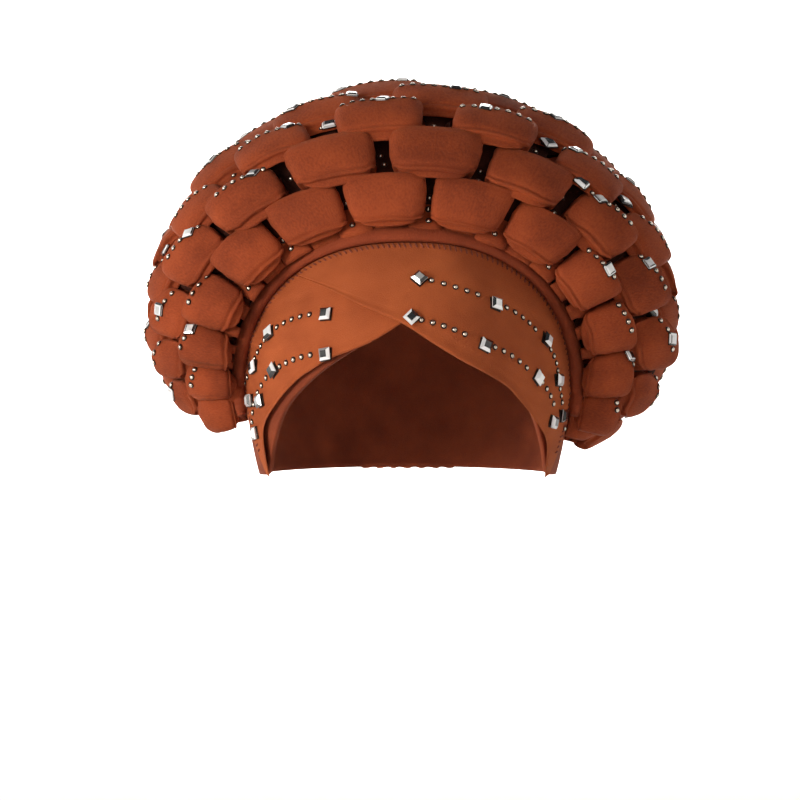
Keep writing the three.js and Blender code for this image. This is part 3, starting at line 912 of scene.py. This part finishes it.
def make_cross_band(number):
    """A taut band from the brow to the back, narrow between the puffs and wide at the rim."""
    column = number - 1
    angle = column_angle(column)
    over_first = column % 2 == 0
    end_band = number in (1, COLUMN_COUNT)
    outwards = -1 if number == 1 else 1
    on_top = sine(angle)
    first_row = -0.4 if end_band else -0.11
    last_row = HOOP_COUNT + 0.16

    def place(u, v):
        row = first_row + (last_row - first_row) * v
        pitch = column_pitch(column, max(row, 0))
        narrow = max(min(CROSS_NARROW, 0.61 * pitch - 3.3), 2)
        flare = 1 - smoothstep(0.0, 0.42, row)
        under = 0.5 - 0.5 * math.cos(math.pi * (row - (0.5 if over_first else 1.5)))
        under = smoothstep(0.25, 0.75, under) * (1 - flare)
        full = min(1.05 * pitch, CROSS_FULL)
        flank = 0 if end_band else 1 - smoothstep(0.35, 0.75, on_top)
        spread = 1 - 0.65 * flank * (1 - smoothstep(0.03, 0.18, row))
        width = narrow + (full - narrow) * max(flare * spread, 0.85 * under)
        rise = 1 - smoothstep(-0.02, 0.34, row)
        bend = (4.4 if over_first else 2.6) * rise - 2.5 * smoothstep(HOOP_COUNT, last_row, row)
        bend += (4.6 - 3.0 * abs(cosine(angle))) * under
        half_angle = width / 2 / pitch * (column_angle(column + 0.5) - column_angle(column - 0.5))
        turn = u * 2 * math.pi
        across = math.cos(turn)
        across = math.copysign(abs(across) ** 0.7, across)
        above = math.sin(turn)
        above = math.copysign(abs(above) ** 0.8, above) * 1.05
        droop = -1.1 * flare * across * across
        here = angle + half_angle * across
        if end_band and across * outwards > 0:
            here = column_angle(column + across * END_SPREAD)
            bend -= 3.0 * across * across
        return crown_point(here, row_length(row, here), bend + above + droop)

    piece = cloth_piece(
        "cross_cloth_%02d" % number, "cross_band_%02d" % number, PAINTED_SHADE_KNIT,
        (14, 110), (CROSS_GIRTH, CROSS_LENGTH), place,
    )
    # The cross bands are near-black, painted shade, except at the rim and on the two end bands.
    piece.data.materials.append(RUST_KNIT)
    uv = piece.data.uv_layers["cloth"].data
    for face in piece.data.polygons:
        along = uv[face.loop_start].uv[1] / (CROSS_LENGTH * MM)
        face.material_index = 1 if along < LIT_SHARE or end_band else 0
    return piece


cross_bands = [make_cross_band(number) for number in range(1, COLUMN_COUNT + 1)]


def make_shell(name, node, material, around, along, size, surface):
    """A cloth shell by surface(share of the turn, share from the pole to the edge, side), with
    a side of 1 on its outer face, 0.5 on its edge and 0 on its inner face."""
    ring = [(k / along, 1) for k in range(along + 1)]
    ring += [(1.004, 0.5)]
    ring += [(k / along, 0) for k in range(along, -1, -1)]
    last = len(ring) - 1

    def place(u, v):
        share, side = ring[round(v * last)]
        return surface(u % 1, share, side)

    return cloth_piece(name, node, material, (around, last), size, place, capped=False)


def make_cap():
    def surface(u, share, side):
        degrees = u * 360
        turn = 360 - degrees if degrees > 180 else degrees
        edge = WIDEST_LEVEL + (WIDEST_LEVEL - NAPE_LEVEL) * read_table(CAP_EDGE, turn)
        top = WIDEST_LEVEL + CROWN_RISE
        level = edge + (top - edge) * max(math.cos(share * math.pi / 2), 0) ** 1.15
        p = head_point(math.radians(degrees), level, 0)
        outwards = (p - Vector((0, 0, WIDEST_LEVEL))).normalized()
        if level < WIDEST_LEVEL:
            outwards.z = 0
            outwards.normalize()
        a = math.radians(degrees)
        ease = 0.35 * math.sin(9 * a + 1.3) + 0.25 * math.sin(17 * a + share * 2)
        hem = 0.5 * math.exp(-(((1 - share) / 0.03) ** 2))
        inner = CAP_WALL + hem - 2 * ease * share * (1 - share)
        depth = {1: 0.15, 0.5: CAP_WALL / 2, 0: inner}[side]
        return p - outwards * depth

    piece = make_shell(
        "inner_cap", "crown_cap", CAP_KNIT, 180, 60, (540, 400), surface
    )


make_cap()


@functools.lru_cache(maxsize=None)
def back_edge(angle):
    """The outer edge of the back panel: under the last hoop on top, along the cap at the nape."""
    upper = column_angle(COLUMN_COUNT + 0.5)
    rise = above_side(angle)

    def tucked(degrees):
        return crown_point(degrees, row_length(HOOP_COUNT - 0.3, degrees), -7.6)

    if rise >= upper:
        return tucked(angle)
    start = tucked(upper)
    share = (upper - rise) / (upper + 90)
    side = 1 if cosine(angle) >= 0 else -1
    start_turn = math.atan2(start.x, -start.y)
    turn = start_turn + (math.pi - start_turn) * share
    level = start.z + (NAPE_LEVEL - start.z) * smoothstep(0, 0.4, share)
    hem = head_point(turn, level, 3)
    return Vector((side * hem.x, hem.y, hem.z))


def make_back_panel():
    chance = random.Random(12)
    spread = [chance.uniform(-0.35, 0.35) for _ in range(BACK_PLEATS)]
    height = [chance.uniform(0.7, 1.15) for _ in range(BACK_PLEATS)]

    def surface(u, share, side):
        angle = -90 + u * 360
        edge = back_edge(angle)
        slant = math.radians(15 + 45 * smoothstep(-60, -20, above_side(angle)))
        turn = slant + (math.pi / 2 - slant) * (1 - share)
        reach = math.cos(turn) / math.cos(slant)
        x = edge.x * reach
        z = CENTRE_LEVEL + (edge.z - CENTRE_LEVEL) * reach
        risen = (math.sin(turn) - math.sin(slant)) / (1 - math.sin(slant))
        y = edge.y + (BACK_DEPTH - edge.y) * risen
        phase = u * BACK_PLEATS
        pleat = int(phase) % BACK_PLEATS
        phase += 0.3 * spread[pleat] * math.sin(math.pi * (phase % 1)) ** 2
        wave = math.cos(phase * 2 * math.pi)
        wave = math.copysign(abs(wave) ** 0.7, wave) * height[pleat] ** 0.5
        ripple = 1.2 * wave * math.sin(min(share, 1) * math.pi * 0.9) * smoothstep(0, 0.25, share)
        lift = ripple + BACK_PANEL_WALL * (side - 0.5)
        away = Vector((edge.x, 0, edge.z - CENTRE_LEVEL)).normalized() * math.cos(turn)
        away.y = math.sin(turn)
        return Vector((x, y, z)) + away * lift

    piece = make_shell(
        "pleated_back_panel", "back_panel", RUST_KNIT, BACK_PLEATS * 12, 60,
        (720, 240), surface,
    )


make_back_panel()


def make_knot():
    """The gathered rosette at the back: folds that turn in towards a small hollow."""
    folds = 11
    profile = [
        (0.0, -0.3),
        (0.8, -0.34),
        (1.0, -0.2),
        (1.03, 0.1),
        (1.0, 0.4),
        (0.95, 0.66),
        (0.8, 0.88),
        (0.6, 0.99),
        (0.38, 0.97),
        (0.2, 0.84),
        (0.0, 0.72),
    ]

    def place(u, share):
        radius, height = curve_at(profile, share)
        turn = (u % 1) * 2 * math.pi + 0.5 * share
        flute = 1 - 0.1 * abs(math.sin(turn * folds / 2)) ** 0.6 * smoothstep(0.05, 0.5, share)
        return Vector((
            KNOT_RADIUS * radius * flute * math.cos(turn),
            BACK_DEPTH + 1.2 + KNOT_HEIGHT * height,
            CENTRE_LEVEL + KNOT_RADIUS * radius * flute * math.sin(turn),
        ))

    piece = cloth_piece(
        "gathered_back_knot", "back_knot", RUST_KNIT, (folds * 16, 50), (132, 70),
        place, capped=False,
    )


make_knot()

# Studs, crystals and stitches, in millimetres. The crystals loose in the gaps are larger by a
# scale, and each hoop has its share of gaps with one.
STUD_RADIUS = 1.15
STUD_PITCH = 5.4
STUDS_TO_A_CRYSTAL = 5
CRYSTAL_WIDTH = 5.8
GIRDLE_HEIGHT = 0.9
GAP_CRYSTAL_SCALE = 1.25
GAP_CRYSTAL_SHARE = [0, 0.25, 0.5, 0.5, 0.3, 0.2, 0.2, 0.2, 0.2]
STUD_CUP_RADIUS = 1.42 * STUD_RADIUS
CRYSTAL_CUP_RADIUS = 0.79 * CRYSTAL_WIDTH
BROW_CUP_RADIUS = 4.7
STITCH_PITCH = 2.7
STITCH_HALF_SIZES = (0.5, 2.0, 0.45)


def keep_form(bm, name):
    """Keeps a form as a mesh, to be set many times."""
    mesh = bpy.data.meshes.new(name)
    bm.to_mesh(mesh)
    bm.free()
    return mesh


def bead_form(name, segments, half_sizes):
    """A round or long bead with these half sizes."""
    bm = bmesh.new()
    bmesh.ops.create_uvsphere(bm, u_segments=segments, v_segments=6, radius=MM)
    bmesh.ops.scale(bm, vec=half_sizes, verts=bm.verts)
    return keep_form(bm, name)


def crystal_form():
    """A square cut stone: cut corners, a girdle, sloped sides and a flat table."""
    bm = bmesh.new()
    bmesh.ops.create_cube(bm, size=MM)
    bmesh.ops.scale(bm, vec=(CRYSTAL_WIDTH, CRYSTAL_WIDTH, GIRDLE_HEIGHT), verts=bm.verts)
    upright = [e for e in bm.edges if abs(e.verts[0].co.z - e.verts[1].co.z) > 0.01 * MM]
    bmesh.ops.bevel(
        bm, geom=upright, offset=0.5 * MM, segments=1, profile=0.5, affect="EDGES", material=-1
    )
    bm.faces.ensure_lookup_table()
    table = [f for f in bm.faces if f.normal.z > 0.9]
    bmesh.ops.inset_region(bm, faces=table, thickness=0.6 * MM, depth=0.4 * MM)
    bmesh.ops.inset_region(bm, faces=table, thickness=0.8 * MM, depth=0.35 * MM)
    return keep_form(bm, "crystal_form")


def cup_form(radius, corners):
    """The rim of the cup that a stud or a crystal is pressed into, near-black: a painted shadow
    line.
    """
    bm = bmesh.new()
    bmesh.ops.create_cone(
        bm, cap_ends=True, segments=corners, radius1=radius * MM, radius2=0.84 * radius * MM,
        depth=0.5 * MM,
    )
    bmesh.ops.rotate(bm, matrix=Matrix.Rotation(math.pi / corners, 3, "Z"), verts=bm.verts)
    return keep_form(bm, "cup_form")


def seat_matrix(place, normal, turn):
    """Sets a form on a surface: its own up along the normal, turned on its seat."""
    facing = normal.to_track_quat("Z", "Y").to_matrix().to_4x4()
    return Matrix.Translation(place) @ facing @ Matrix.Rotation(turn, 4, "Z")


def aligned_seat(place, normal, along, turn):
    """Sets a form on a surface with its own X along a line there, and then turns it."""
    along = (along - normal * along.dot(normal)).normalized()
    facing = Matrix((along, normal.cross(along), normal)).transposed().to_4x4()
    return Matrix.Translation(place) @ facing @ Matrix.Rotation(turn, 4, "Z")


def join_forms(name, form, seats, material):
    """Makes one piece of a form set on many seats."""
    bm = bmesh.new()
    for matrix in seats:
        known = len(bm.verts)
        bm.from_mesh(form)
        bm.verts.ensure_lookup_table()
        bmesh.ops.transform(bm, matrix=matrix, verts=bm.verts[known:])
    return finish_piece(bm, name, material)


def stone_seat(tree, stone):
    """The seat on a forehead panel under a crystal, turned as the crystal is."""
    points = [stone.matrix_world @ v.co for v in stone.data.vertices]
    middle = sum(points, Vector()) / len(points)
    place, normal, _, _ = tree.find_nearest(middle)
    if normal.y > 0:
        normal.negate()
    corner = max(points, key=lambda p: (p - middle).length) - middle
    return aligned_seat(place + normal * 0.3 * MM, normal, corner, math.pi / 4)


def surface_of(pieces):
    bm = bmesh.new()
    for piece in pieces:
        bm.from_mesh(piece.data)
    tree = BVHTree.FromBMesh(bm)
    bm.free()
    return tree


def crown_seat(tree, column, row, rise, turn=0, facing=0.45, highest=99):
    """A seat on the woven crown at a column and row, found from outside, if the cloth there
    faces outwards enough and lies no higher than this."""
    angle = column_angle(column)
    length = row_length(row, angle)
    outside = 40
    outer = crown_point(angle, length, outside) * MM
    inner = crown_point(angle, length, 0) * MM
    inwards = (inner - outer).normalized()
    place, normal, _, distance = tree.ray_cast(outer, inwards, 1.5 * outside * MM)
    if place is None or normal.dot(inwards) > -facing or distance < (outside - highest) * MM:
        return None
    return seat_matrix(place + normal * rise * MM, normal, turn)


def front_hit(tree, x, z):
    """The place and the normal of the cloth behind a point seen from the front."""
    place, normal, _, _ = tree.ray_cast(Vector((x * MM, -0.3, z * MM)), Vector((0, 1, 0)), 0.5)
    return place, normal


def trim_crown(tree):
    """Lines of studs along the back edges of the puffs with a crystal after every fifth, and studs
    and a crystal deep in the gaps, on the cross bands. The puffs over the brow are bare."""
    chance = random.Random(99)
    studs = []
    stones = []
    for number in range(1, HOOP_COUNT + 1):
        since = chance.randrange(STUDS_TO_A_CRYSTAL + 1)
        for dip in range(*hoop_ends(number), 2):
            middle = dip + 1
            from_top = abs(middle - (COLUMN_COUNT - 1) / 2)
            bare = number < 3 and from_top < (5.5 if number == 1 else 3.5)
            pitch = column_pitch(middle, number - 0.1)
            count = int(1.4 * pitch / STUD_PITCH)
            edge = 0.36 + chance.uniform(-0.05, 0.02)
            if number < 3 and from_top > 7:
                edge = chance.uniform(0.0, 0.34)
            for k in range(count + 1):
                since += 1
                if bare:
                    continue
                column = dip + 0.32 + 1.36 * (k + 0.5) / (count + 1)
                if not 0 <= column <= COLUMN_COUNT - 1:
                    continue
                row = number - 0.5 + edge
                if since % (STUDS_TO_A_CRYSTAL + 1) == 0:
                    turn = chance.uniform(-0.5, 0.5)
                    stones.append(crown_seat(tree, column, row, 0.3, turn, facing=0.8))
                else:
                    studs.append(crown_seat(tree, column, row, 0.25))
            if dip > 0:
                for k in range(4):
                    side = chance.uniform(-0.08, 0.08)
                    row = number - 0.86 + 0.24 * k
                    studs.append(crown_seat(tree, dip + side, row, 0.2, highest=4.5))
                if chance.random() < GAP_CRYSTAL_SHARE[number - 1]:
                    turn = chance.uniform(0, 1.5)
                    seat = crown_seat(tree, dip + 0.1, number - 0.1, 0.9, turn, facing=0.8)
                    if seat:
                        stones.append(seat @ Matrix.Scale(GAP_CRYSTAL_SCALE, 4))
    return [m for m in studs if m], [m for m in stones if m]


# Runs of studs on the forehead panels, seen from the front: where a run starts, passes and
# ends, across from the middle and up from the eye line in millimetres, and its studs.
BROW_RUNS = [
    ((11.3, 75.0), (23.0, 71.7), (33.8, 68.1), 5),
    ((48.0, 61.7), (56.0, 56.8), (62.2, 51.0), 5),
    ((70.0, 41.0), (72.4, 36.0), (73.6, 30.4), 4),
    ((74.8, 21.6), (75.5, 18.0), (76.0, 14.6), 3),
    ((76.4, 6.0), (76.9, 4.0), (77.4, 1.5), 2),
    ((6.4, 55.9), (17.2, 53.0), (27.4, 49.0), 5),
    ((42.1, 42.6), (50.5, 38.2), (57.8, 32.3), 5),
    ((65.7, 25.0), (69.0, 20.0), (71.5, 14.2), 4),
    ((-48.0, 58.3), (-56.8, 55.9), (-64.2, 51.9), 5),
    ((-70.6, 45.6), (-73.2, 41.0), (-75.5, 36.3), 4),
    ((-78.0, 29.6), (-80.0, 25.4), (-81.6, 20.6), 4),
    ((-83.0, 13.0), (-83.3, 11.8), (-83.8, 10.6), 2),
    ((-47.5, 38.7), (-55.9, 36.3), (-62.7, 32.8), 5),
    ((-69.6, 27.0), (-72.0, 23.2), (-74.0, 19.6), 3),
    ((-76.0, 13.7), (-76.6, 9.5), (-77.0, 4.9), 3),
    ((-78.4, -3.0), (-78.7, -4.2), (-79.0, -5.6), 2),
]


def trim_brow(tree):
    seats = []
    for start, middle, end, count in BROW_RUNS:
        for k in range(count):
            t = k / (count - 1)
            x, z = [
                a * (1 - t) ** 2 + 2 * t * (1 - t) * (2 * b - (a + c) / 2) + c * t * t
                for a, b, c in zip(start, middle, end)
            ]
            place, normal = front_hit(tree, x, z)
            if place is not None:
                seats.append(seat_matrix(place + normal * 0.25 * MM, normal, 0))
    return seats


def overlock_seats(tree):
    """Slanted overlock stitches across the seam, evenly along it."""
    seats = []
    slant = 0.35
    inset = 1.6
    step = 0.2
    angle = -30
    while angle < 210:
        x, z = seam_outline(angle, -inset)
        ahead = seam_outline(angle + step, -inset)
        run = Vector((ahead[0] - x, 0, ahead[1] - z))
        place, normal = front_hit(tree, x, z)
        if place is not None:
            seats.append(aligned_seat(place + normal * 0.12 * MM, normal, run, slant))
        angle += step * STITCH_PITCH / run.length
    return seats


woven = surface_of(hoops + cross_bands)
panels = surface_of([right_panel, left_panel])
crown_studs, crown_stones = trim_crown(woven)
brow_studs = trim_brow(panels)
stud = bead_form("stud_form", 10, (STUD_RADIUS, STUD_RADIUS, 0.72 * STUD_RADIUS))
stitch = bead_form("stitch_form", 8, STITCH_HALF_SIZES)
join_forms("crown_studs", stud, crown_studs, STUD)
crystals = join_forms("crown_crystals", crystal_form(), crown_stones, CRYSTAL)
crystals.data.shade_flat()
join_forms("brow_studs", stud, brow_studs, STUD)
join_forms("stud_cups", cup_form(STUD_CUP_RADIUS, 12), crown_studs + brow_studs, CUP)
join_forms("crystal_cups", cup_form(CRYSTAL_CUP_RADIUS, 4), crown_stones, CUP)
brow_cups = []
for name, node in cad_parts.items():
    if name.startswith("brow_stone"):
        brow_cups.append(stone_seat(panels, node))
        node.data.materials.clear()
        node.data.materials.append(CRYSTAL)
join_forms("brow_crystal_cups", cup_form(BROW_CUP_RADIUS, 4), brow_cups, CUP)
join_forms("overlock_stitches", stitch, overlock_seats(panels), THREAD)


# Lights, floor and backdrop.


def make_stage():
    """A round white paper cove: a flat floor that turns up into a wall all the way round."""
    white = new_material("white_paper_cove", Base_Color=linear("#f4f2ef"), Roughness=0.9)[0]
    floor_level = -0.24
    flat = 3.2
    bend = 1.2
    profile = [(0, floor_level), (flat, floor_level)]
    for k in range(1, 13):
        turn = k / 12 * math.pi / 2
        profile.append((flat + bend * math.sin(turn), floor_level + bend * (1 - math.cos(turn))))
    profile.append((flat + bend, 3.2))
    bm = bmesh.new()
    line = [bm.verts.new((0, r, z)) for r, z in profile]
    edges = [bm.edges.new(pair) for pair in zip(line, line[1:])]
    bmesh.ops.spin(
        bm, geom=line + edges, cent=(0, 0, 0), axis=(0, 0, 1), angle=2 * math.pi, steps=72,
        use_merge=True,
    )
    bmesh.ops.remove_doubles(bm, verts=bm.verts, dist=1e-5)
    bmesh.ops.recalc_face_normals(bm, faces=bm.faces)
    mesh = bpy.data.meshes.new("cove")
    bm.to_mesh(mesh)
    bm.free()
    cove = bpy.data.objects.new("cove", mesh)
    bpy.context.scene.collection.objects.link(cove)
    mesh.materials.append(white)
    mesh.shade_smooth()


def add_light(name, place, aim, size, power, colour):
    """Adds a square soft light: its place, what it aims at, its size and its power in watts."""
    data = bpy.data.lights.new(name, "AREA")
    data.size = size
    data.energy = power
    data.color = linear(colour)[:3]
    light = bpy.data.objects.new(name, data)
    bpy.context.scene.collection.objects.link(light)
    light.location = place
    light.rotation_euler = (Vector(aim) - Vector(place)).to_track_quat("-Z", "Y").to_euler()


make_stage()
add_light("key", (-2.3, -1.9, 0.3), (0, 0, 0.05), 1.1, 70, "#fffaf0")
add_light("fill", (0.2, -2.6, 0.7), (0, 0, 0.05), 1.6, 3, "#ffe2d0")
add_light("backdrop", (0, 2.7, 2.4), (0, 4.3, 0.3), 2.0, 230, "#ffffff")
world = bpy.data.worlds.new("studio")
bpy.context.scene.world = world
world.use_nodes = True
world.node_tree.nodes["Background"].inputs["Color"].default_value = linear("#ffffff")
world.node_tree.nodes["Background"].inputs["Strength"].default_value = 0.16
bpy.context.scene.view_settings.view_transform = "Standard"
